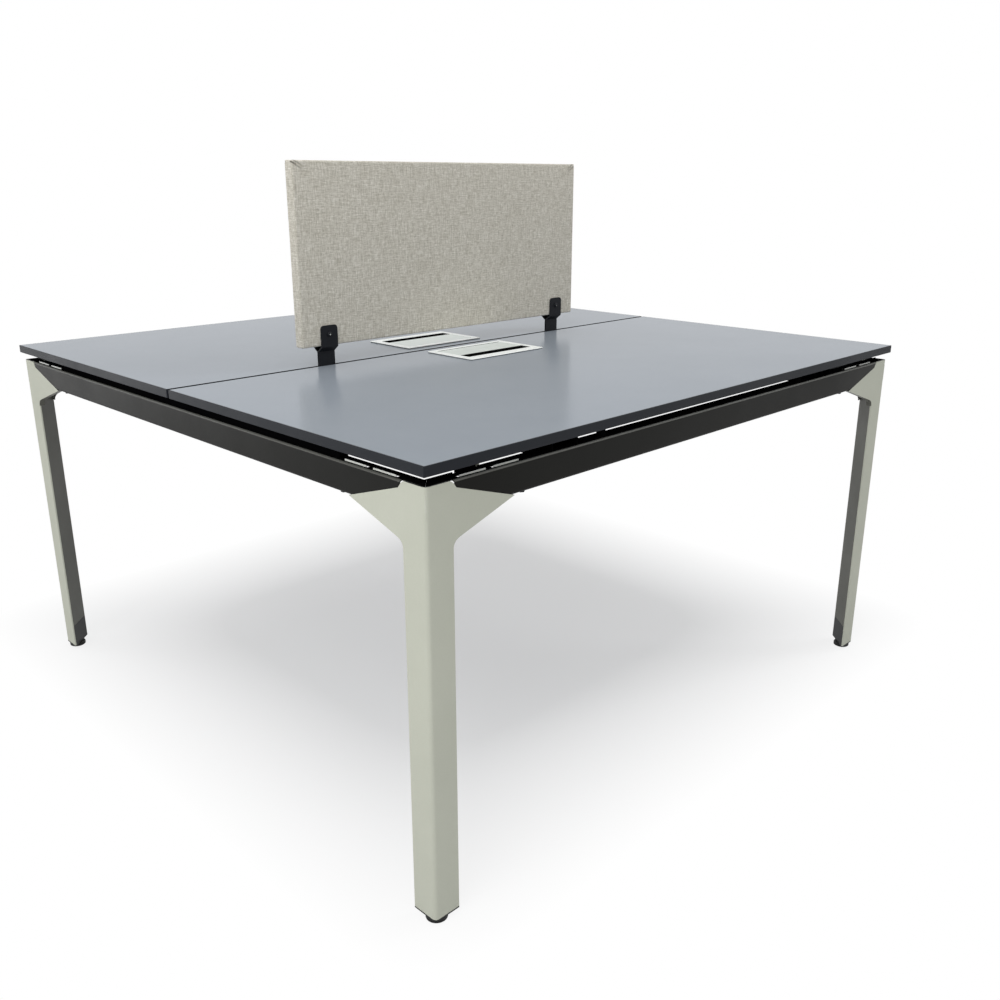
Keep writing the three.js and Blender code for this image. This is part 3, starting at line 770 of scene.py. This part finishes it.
# worktops: the boards keep their shape, the banding is smoothed, and its upper edge at the seam is painted
# black as painted shade in the seam
bandLook = {"seam": 5.5 * mm, "upward": 0.3, "sharp": 50}
bands = (edging, blackAndPaintedShade)
for user, outward in users.items():
    repaint("worktop_" + user, laminate)
    node = "edge_band_" + user
    bm = mergedCopy(node)
    split(bm, bandLook["seam"], (0, outward, 0))
    for face in bm.faces:
        atSeam = abs(face.calc_center_median().y) < bandLook["seam"]
        face.material_index = 1 if atSeam and face.normal.z > bandLook["upward"] else 0
    finishPiece("glued_band_" + user, bm, bands, "desk", (node,), bandLook["sharp"])

# flap boxes: bright frame and lid, with painted shade in black on the walls inside the cable slot and on a
# strip of the lid beside it, and a painted shadow line at the foot of the frame's outer walls
flapFrameLook = {
    "ease": 0.3 * mm, "steps": 2, "least": 40, "shortest": 0.6 * mm,
    "rim": 2.6 * mm, "shadowLine": 1.3 * mm, "upward": 0.5,
    "ends": 15.9 * mm, "hingeSide": 13.9 * mm, "openSide": 23.9 * mm,
}
flapLidLook = {
    "ease": 0.35 * mm, "steps": 2, "least": 40, "shortest": 1.5 * mm,
    "slotShadeUnder": 16.2 * mm, "lip": 15.5 * mm,
}
flapWellLook = {"ease": 0.4 * mm, "steps": 2, "least": 40, "shortest": 0}
rim = worktopTop + flapFrameLook["rim"]
shadowLineTop = worktopTop + flapFrameLook["shadowLine"]
for user, outward in users.items():
    node = "flap_frame_" + user
    bm = mergedCopy(node)
    split(bm, rim, (0, 0, 1))
    split(bm, shadowLineTop, (0, 0, 1))
    low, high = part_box(node)
    seamEdge, freeEdge = sorted((abs(low.y), abs(high.y)))
    lengthIn = high.x - flapFrameLook["ends"]
    nearest = seamEdge + flapFrameLook["hingeSide"]
    furthest = freeEdge - flapFrameLook["openSide"]
    for face in bm.faces:
        middle = face.calc_center_median()
        # painted shade inside the cable slot, and a painted shadow line along the foot of the outer walls
        slotShade = abs(middle.x) < lengthIn and nearest < abs(middle.y) < furthest and middle.z < rim
        shadowLine = middle.z < shadowLineTop and face.normal.z < flapFrameLook["upward"]
        face.material_index = 1 if slotShade or shadowLine else 0
    easeEdges(bm, flapFrameLook)
    metals = (frameAluminium, blackAndPaintedShade)
    finishPiece("cast_frame_" + user, bm, metals, bodyOf(node), (node,))
    node = "flap_lid_" + user
    bm = mergedCopy(node)
    low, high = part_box(node)
    freeEdge = max(abs(low.y), abs(high.y))
    lip = freeEdge - flapLidLook["lip"]
    slotShadeUnder = freeEdge - flapLidLook["slotShadeUnder"]
    split(bm, rim, (0, 0, 1))
    split(bm, lip, (0, outward, 0))
    for face in bm.faces:
        middle = face.calc_center_median()
        # painted shade on the lid's strip beside the slot and on its edge below the rim
        under = abs(middle.y) > slotShadeUnder and middle.z < rim
        face.material_index = 1 if under or abs(middle.y) > lip else 0
    easeEdges(bm, flapLidLook)
    metals = (lidAluminium, blackAndPaintedShade)
    finishPiece("brushed_lid_" + user, bm, metals, bodyOf(node), (node,))
    easedPiece("flap_well_" + user, "moulded_well_" + user, flapWellLook, blackPlastic)
    repaint("flap_hinge_pin_" + user, zincSteel)
print("worktops and flap boxes done")


# round pieces are spun from a half outline of (radius, height) pairs in millimetres
turnedLook = {"merge": 0.002 * mm, "ring": 0.02 * mm, "inSocket": 0.01 * mm, "outward": -0.5, "sharp": 40}
turns = {
    "Z": Matrix(),
    "-Z": Matrix.Rotation(pi, 4, "X"),
    "Y": Matrix.Rotation(-pi / 2, 4, "X"),
    "-Y": Matrix.Rotation(pi / 2, 4, "X"),
}


def addSpun(bm, outline, count, centre, axis="Z", material=0, socket=0.0):
    part = bmesh.new()
    verts = [part.verts.new((radius * mm, 0.0, height * mm)) for radius, height in outline]
    edges = [part.edges.new(pair) for pair in zip(verts, verts[1:])]
    bmesh.ops.spin(
        part,
        geom=verts + edges,
        cent=(0, 0, 0),
        axis=(0, 0, 1),
        angle=2 * pi,
        steps=count,
        use_merge=True,
    )
    bmesh.ops.remove_doubles(part, verts=part.verts, dist=turnedLook["merge"])
    for vert in part.verts:
        # a ring of the socket's radius is drawn in to a hexagon
        if socket and abs(vert.co.xy.length - socket * mm) < turnedLook["ring"]:
            off = atan2(vert.co.y, vert.co.x) % (pi / 3) - pi / 6
            vert.co.xy *= cos(pi / 6) / cos(off)
    bmesh.ops.recalc_face_normals(part, faces=part.faces)
    for face in part.faces:
        reach = max(vert.co.xy.length for vert in face.verts)
        inSocket = reach < socket * mm + turnedLook["inSocket"] and face.normal.z > turnedLook["outward"]
        face.material_index = 1 if socket and inSocket else material
    bmesh.ops.transform(part, matrix=Matrix.Translation(centre) @ turns[axis], verts=part.verts)
    carrier = bpy.data.meshes.new("carrier")
    part.to_mesh(carrier)
    part.free()
    bm.from_mesh(carrier)
    bpy.data.meshes.remove(carrier)


def addHead(bm, look, centre, axis):
    addSpun(bm, look["head"], look["sides"], centre, axis, socket=look["socket"])


def addShank(bm, look, centre, length, axis):
    outline = [(0, 0), (look["shank"], 0), (look["shank"], length / mm), (0, length / mm)]
    addSpun(bm, outline, look["sides"], centre, axis)


footLook = {
    "pad": [
        (0, 0), (15.2, 0), (16.6, 0.3), (17.7, 1.2), (18, 2.2), (18, 3.5), (17.3, 3.9), (17.3, 4.5),
        (18, 4.9), (18, 6.8), (17.6, 7.7), (16.6, 8.4), (14, 8.9), (0, 8.9),
    ],
    "sides": 48,
    "thread": 1.5,
    "crest": (0.45, 0.6),  # where each turn's crest starts and ends, as a share of the thread
    "studRadius": 4.95,
    "studDepth": 0.75,
    "studLow": 8.0,
    "studTop": 53.9,
    "studEnd": 1.0,
    "studSides": 20,
}
ridges = [(0, footLook["studLow"])]
root = footLook["studRadius"] - footLook["studDepth"]
threaded = footLook["studTop"] - footLook["studLow"] - footLook["studEnd"]
for turn in range(int(threaded / footLook["thread"])):
    start = footLook["studLow"] + turn * footLook["thread"]
    ridges.append((root, start))
    for share in footLook["crest"]:
        ridges.append((footLook["studRadius"], start + footLook["thread"] * share))
ridges.append((root, footLook["studTop"]))
ridges.append((0, footLook["studTop"]))
metals = (blackPlastic, zincSteel)
for corner in corners:
    node = "levelling_foot_" + corner
    low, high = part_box(node)
    centre = Vector(((low.x + high.x) / 2, (low.y + high.y) / 2, low.z))
    bm = bmesh.new()
    addSpun(bm, footLook["pad"], footLook["sides"], centre)
    addSpun(bm, ridges, footLook["studSides"], centre, material=1)
    name = "turned_foot_" + corner
    finishPiece(name, bm, metals, bodyOf(node), (node,), turnedLook["sharp"])
print("levelling feet turned")

# bolts through the screen: a domed head with a hexagon socket on each clamp plate
boltLook = {
    "head": [
        (0, 1.1), (1.75, 1.1), (1.75, 2.72), (2.1, 2.95), (3.1, 2.8), (4.2, 2.3), (5.0, 1.6), (5.4, 0.9),
        (5.45, 0.3), (5.2, 0.05), (0, 0.05),
    ],
    "headHeight": 3.0 * mm,
    "socket": 1.75,
    "shank": 2.95,
    "sides": 36,
}
metals = (blackCoat, zincSteel)
for side in sides:
    node = "screen_bolt_" + side
    low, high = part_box(node)
    bm = bmesh.new()
    seat = high.y - boltLook["headHeight"]
    centre = Vector(((low.x + high.x) / 2, seat, (low.z + high.z) / 2))
    addHead(bm, boltLook, centre, "Y")
    centre.y = -seat
    addHead(bm, boltLook, centre, "-Y")
    addShank(bm, boltLook, centre, 2 * seat, "Y")
    name = "turned_bolt_" + side
    finishPiece(name, bm, metals, bodyOf(node), (node,), turnedLook["sharp"])

# pan-head screws, seen from below: the clamps' own, and those of the wells, clips and bearers
screwLook = {
    "head": [
        (0, 1.2), (1.3, 1.2), (1.3, 2.2), (1.6, 2.4), (2.6, 2.15), (3.4, 1.6), (3.85, 0.8), (3.9, 0.2),
        (3.8, 0.02), (0, 0.02),
    ],
    "headHeight": 2.6 * mm,
    "socket": 1.3,
    "shank": 1.95,
    "sides": 24,
    "plate": 2.0 * mm,  # the wall of the wells and clips that the head lies under
    "gap": 0.02 * mm,
    "wellInset": 6 * mm,
    "clipInset": 11.7 * mm,
    "bearerRows": (120 * mm, 360 * mm, 600 * mm),
}
metals = (zincSteel, blackCoat)
for user in users:
    for side in sides:
        ending = user + "_" + side
        node = "clamp_screw_" + ending
        low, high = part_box(node)
        centre = Vector(((low.x + high.x) / 2, (low.y + high.y) / 2, low.z + screwLook["headHeight"]))
        bm = bmesh.new()
        addHead(bm, screwLook, centre, "-Z")
        addShank(bm, screwLook, centre, high.z - centre.z, "Z")
        name = "turned_screw_" + ending
        finishPiece(name, bm, metals, bodyOf(node), (node,), turnedLook["sharp"])
bm = bmesh.new()
inset = screwLook["wellInset"]
underPlate = screwLook["plate"] + screwLook["gap"]
for user, outward in users.items():
    low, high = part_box("flap_well_" + user)
    for x in (low.x + inset, high.x - inset):
        for y in (low.y + inset, high.y - inset):
            addHead(bm, screwLook, Vector((x, y, high.z - underPlate)), "-Z")
    for side in sides:
        low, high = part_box("worktop_clip_" + user + "_" + side)
        y = outward * (min(abs(low.y), abs(high.y)) + screwLook["clipInset"])
        addHead(bm, screwLook, Vector(((low.x + high.x) / 2, y, high.z - underPlate)), "-Z")
        low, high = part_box("bearer_" + side)
        for row in screwLook["bearerRows"]:
            place = Vector(((low.x + high.x) / 2, outward * row, low.z - screwLook["gap"]))
            addHead(bm, screwLook, place, "-Z")
finishPiece("under_screws", bm, metals, "desk", (), turnedLook["sharp"])

# round bushes between the long beams and the worktops
bushLook = {
    "outline": [(0, 0.05), (7.0, 0.05), (7.5, 0.5), (7.5, 15.4), (7.0, 15.95), (0, 15.95)],
    "sides": 32,
    "spread": 312 * mm,
}
bushY = (beamLow.y + beamHigh.y) / 2
bm = bmesh.new()
for x in (-bushLook["spread"], bushLook["spread"]):
    for y in (-bushY, bushY):
        addSpun(bm, bushLook["outline"], bushLook["sides"], Vector((x, y, beamHigh.z)))
finishPiece("turned_bushes", bm, (blackAndPaintedShade,), "desk", (), turnedLook["sharp"])
print("bolts, screws and bushes turned")


# the screen: cloth over foam on a board, swelled by a short simulation
screenLook = {
    "growLow": (1.8 * mm, -0.2 * mm, -0.2 * mm),
    "growHigh": (1.8 * mm, -0.2 * mm, 4.0 * mm),
    "cell": 8.0 * mm,
    "edgeLoops": [0.9 * mm, 1.9 * mm, 3.2 * mm, 5 * mm, 7.4 * mm, 10.2 * mm, 13.4 * mm, 17 * mm, 21 * mm],
    "loopShare": 0.8,  # how far towards the middle the edge loops may reach
    "round": 3.8 * mm,
    "quality": 5,
    "mass": 0.3,
    "pressure": 4.0,
    "frames": 20,
    "cap": 1.0 * mm,
    "tuckLength": 36 * mm,
    "tuckSlope": 0.62,
    "tuckApart": 2.7 * mm,
    "tuckWidth": 2.2 * mm,
    "tuckDepth": 2.6 * mm,
    "tuckRidge": 1.0 * mm,
    "sheetFacing": 0.6,  # faces turned further to the users take the weave from front or back
}
screenLow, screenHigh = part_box("screen_panel")
screenLow -= Vector(screenLook["growLow"])
screenHigh += Vector(screenLook["growHigh"])
screenSize = screenHigh - screenLow
bm = bmesh.new()
addBar(bm, screenSize, (0, 0, 0))
for axis in range(3):
    half = screenSize[axis] / 2
    loops = [reach for reach in screenLook["edgeLoops"] if reach < screenLook["loopShare"] * half]
    inner = half - loops[-1]
    cells = max(1, round(2 * inner / screenLook["cell"]))
    places = [sign * (half - reach) for sign in (-1, 1) for reach in loops]
    places += [-inner + 2 * inner * step / cells for step in range(1, cells)]
    across = Vector([1.0 if i == axis else 0.0 for i in range(3)])
    for place in places:
        split(bm, place, across)
coreHalf = [side / 2 - screenLook["round"] for side in screenSize]
for vert in bm.verts:
    core = Vector([max(-half, min(half, value)) for value, half in zip(vert.co, coreHalf)])
    out = vert.co - core
    if out.length > 0:
        vert.co = core + out.normalized() * min(out.length, screenLook["round"])
bmesh.ops.translate(bm, vec=(screenLow + screenHigh) / 2, verts=bm.verts)
bmesh.ops.recalc_face_normals(bm, faces=bm.faces)
screenMesh = bpy.data.meshes.new("cloth_screen")
bm.to_mesh(screenMesh)
bm.free()
screen = bpy.data.objects.new("cloth_screen", screenMesh)
scene.collection.objects.link(screen)
restPlaces = [vert.co.copy() for vert in screenMesh.vertices]
swell = screen.modifiers.new("swell", "CLOTH")
swell.settings.quality = screenLook["quality"]
swell.settings.mass = screenLook["mass"]
swell.settings.use_pressure = True
swell.settings.uniform_pressure_force = screenLook["pressure"]
swell.settings.effector_weights.gravity = 0.0
swell.collision_settings.use_collision = False
swell.point_cache.frame_start = 1
swell.point_cache.frame_end = screenLook["frames"]
for step in range(1, screenLook["frames"] + 1):
    scene.frame_set(step)
swollen = screen.evaluated_get(bpy.context.evaluated_depsgraph_get()).to_mesh()
moves = [vert.co - rest for vert, rest in zip(swollen.vertices, restPlaces)]
screen.modifiers.remove(swell)
scene.frame_set(1)
for vert, rest, move in zip(screenMesh.vertices, restPlaces, moves):
    reach = move.length
    if reach > 0:
        vert.co = rest + move * (screenLook["cap"] * tanh(reach / screenLook["cap"]) / reach)
print("screen swelled")

# tucks where the cloth is folded round the upper corners: two valleys beside a ridge, with painted shade
# in the valleys
bm = bmesh.new()
bm.from_mesh(screenMesh)
screenEnds = (screenLow.x, screenHigh.x)
faceFrom = screenSize.y / 2 - screenLook["round"]  # the front and back start this far from the middle


def fromCorner(place, endX):
    return abs(place.x - endX), abs(screenHigh.z - place.z)


def nearCorner(edge):
    middle = (edge.verts[0].co + edge.verts[1].co) / 2
    reach = min(max(fromCorner(middle, endX)) for endX in screenEnds)
    return reach < screenLook["tuckLength"] and abs(middle.y) > faceFrom


around = [edge for edge in bm.edges if nearCorner(edge)]
bmesh.ops.subdivide_edges(bm, edges=around, cuts=1, use_grid_fill=True)
tuckShade = bm.verts.layers.float.new("tuckShade")
steep = atan2(screenLook["tuckSlope"], 1)
for vert in bm.verts:
    for endX in screenEnds:
        inX, inZ = fromCorner(vert.co, endX)
        along = inX * cos(steep) + inZ * sin(steep)
        across = inZ * cos(steep) - inX * sin(steep)
        if along > screenLook["tuckLength"] or abs(vert.co.y) < faceFrom:
            continue
        fade = 1 - along / screenLook["tuckLength"]
        off = abs(abs(across) - screenLook["tuckApart"]) / screenLook["tuckWidth"]
        valley = fade * max(0.0, 1 - off)
        ridge = fade * max(0.0, 1 - abs(across) / screenLook["tuckApart"])
        dip = screenLook["tuckDepth"] * valley - screenLook["tuckRidge"] * ridge
        vert.co.y -= dip * (1 if vert.co.y > 0 else -1)
        vert[tuckShade] = max(vert[tuckShade], valley)
clothUv = bm.loops.layers.uv.new("clothUv")
for face in bm.faces:
    normal = face.normal
    for loop in face.loops:
        place = loop.vert.co
        if abs(normal.y) > screenLook["sheetFacing"]:
            loop[clothUv].uv = (place.x, place.z)
        elif abs(normal.x) > abs(normal.z):
            loop[clothUv].uv = (place.y, place.z)
        else:
            loop[clothUv].uv = (place.x, place.y)
bm.to_mesh(screenMesh)
bm.free()
screenMesh.materials.append(fabric)
screenMesh.shade_smooth()
finer = screen.modifiers.new("finer", "SUBSURF")
finer.levels = 1
finer.render_levels = 1
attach(screen, "desk")
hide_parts("screen_panel")
print("screen covered")


# floor, world and lights: what is seen directly or in a reflection is white, and the rest lights the desk
def seenDirectly(tree):
    rays = addNode(tree, "ShaderNodeLightPath").outputs
    seen = calc(tree, "MAXIMUM", rays["Is Camera Ray"], rays["Is Glossy Ray"])
    return calc(tree, "MAXIMUM", seen, rays["Is Transmission Ray"])


white = (1.0, 1.0, 1.0, 1.0)
floorLook = {
    "half": 9.0,
    "colour": (0.82, 0.82, 0.82, 1.0),
    "lift": 0.4,  # share of white under the desk, which grows to all of it further away
    "centre": (0.1, 0.12, 0.0),
    "fadeFrom": 0.48,
    "fadeTo": 0.92,
    "soften": 0.3,
}
bm = bmesh.new()
bmesh.ops.create_grid(bm, x_segments=2, y_segments=2, size=floorLook["half"])
floorMesh = bpy.data.meshes.new("floor")
bm.to_mesh(floorMesh)
bm.free()
floor = bpy.data.objects.new("floor", floorMesh)
scene.collection.objects.link(floor)
floorPaint = bpy.data.materials.new("floor_paint")
floorPaint.use_nodes = True
tree = floorPaint.node_tree
tree.nodes.clear()
# under the desk the white glow is held back in a rounded square, a painted shadow pool laid over the real
# shadow
spread = {0: addNode(tree, "ShaderNodeTexCoord").outputs["Object"], 1: floorLook["centre"]}
spread = addNode(tree, "ShaderNodeVectorMath", spread, operation="SUBTRACT").outputs[0]
spread = addNode(tree, "ShaderNodeVectorMath", {0: spread}, operation="ABSOLUTE").outputs[0]
spread = addNode(tree, "ShaderNodeSeparateXYZ", {0: spread}).outputs
away = calc(tree, "SMOOTH_MAX", spread["X"], spread["Y"], floorLook["soften"])
lift = ramp(tree, away, floorLook["fadeFrom"], floorLook["fadeTo"], floorLook["lift"], 1.0)
shown = calc(tree, "MULTIPLY", seenDirectly(tree), lift)
matt = addNode(tree, "ShaderNodeBsdfDiffuse", {"Color": floorLook["colour"]}).outputs[0]
glow = addNode(tree, "ShaderNodeEmission", {"Color": white, "Strength": 1.0}).outputs[0]
both = addNode(tree, "ShaderNodeMixShader", {0: shown, 1: matt, 2: glow}).outputs[0]
addNode(tree, "ShaderNodeOutputMaterial", {"Surface": both})
floorMesh.materials.append(floorPaint)

worldLook = {"ambient": 0.45, "colour": (0.97, 0.98, 1.0, 1.0)}
world = bpy.data.worlds.new("studio")
scene.world = world
world.use_nodes = True
tree = world.node_tree
tree.nodes.clear()
soft = {"Color": worldLook["colour"], "Strength": worldLook["ambient"]}
soft = addNode(tree, "ShaderNodeBackground", soft).outputs[0]
bright = addNode(tree, "ShaderNodeBackground", {"Color": white, "Strength": 1.0}).outputs[0]
both = addNode(tree, "ShaderNodeMixShader", {0: seenDirectly(tree), 1: soft, 2: bright}).outputs[0]
addNode(tree, "ShaderNodeOutputWorld", {"Surface": both})

lampLooks = {
    "key": {"place": (-2.6, -1.2, 2.4), "aim": (0, 0, 0.6), "size": 2.0, "power": 45.0},
    "side": {"place": (-3.0, 3.9, 0.7), "aim": (-0.6, 0, 0.6), "size": 1.8, "power": 32.0},
    "right": {"place": (3.2, -2.2, 3.3), "aim": (0, 0, 0.7), "size": 1.4, "power": 40.0},
    "top": {"place": (0.0, 0.4, 3.6), "aim": (0, 0, 0.7), "size": 3.0, "power": 32.0},
}
for name, look in lampLooks.items():
    lamp = bpy.data.lights.new(name, "AREA")
    lamp.energy = look["power"]
    lamp.size = look["size"]
    holder = bpy.data.objects.new(name, lamp)
    holder.location = look["place"]
    aim = Vector(look["aim"]) - Vector(look["place"])
    holder.rotation_euler = aim.to_track_quat("-Z", "Y").to_euler()
    scene.collection.objects.link(holder)
scene.view_settings.view_transform = "Standard"
print("floor and lights set")
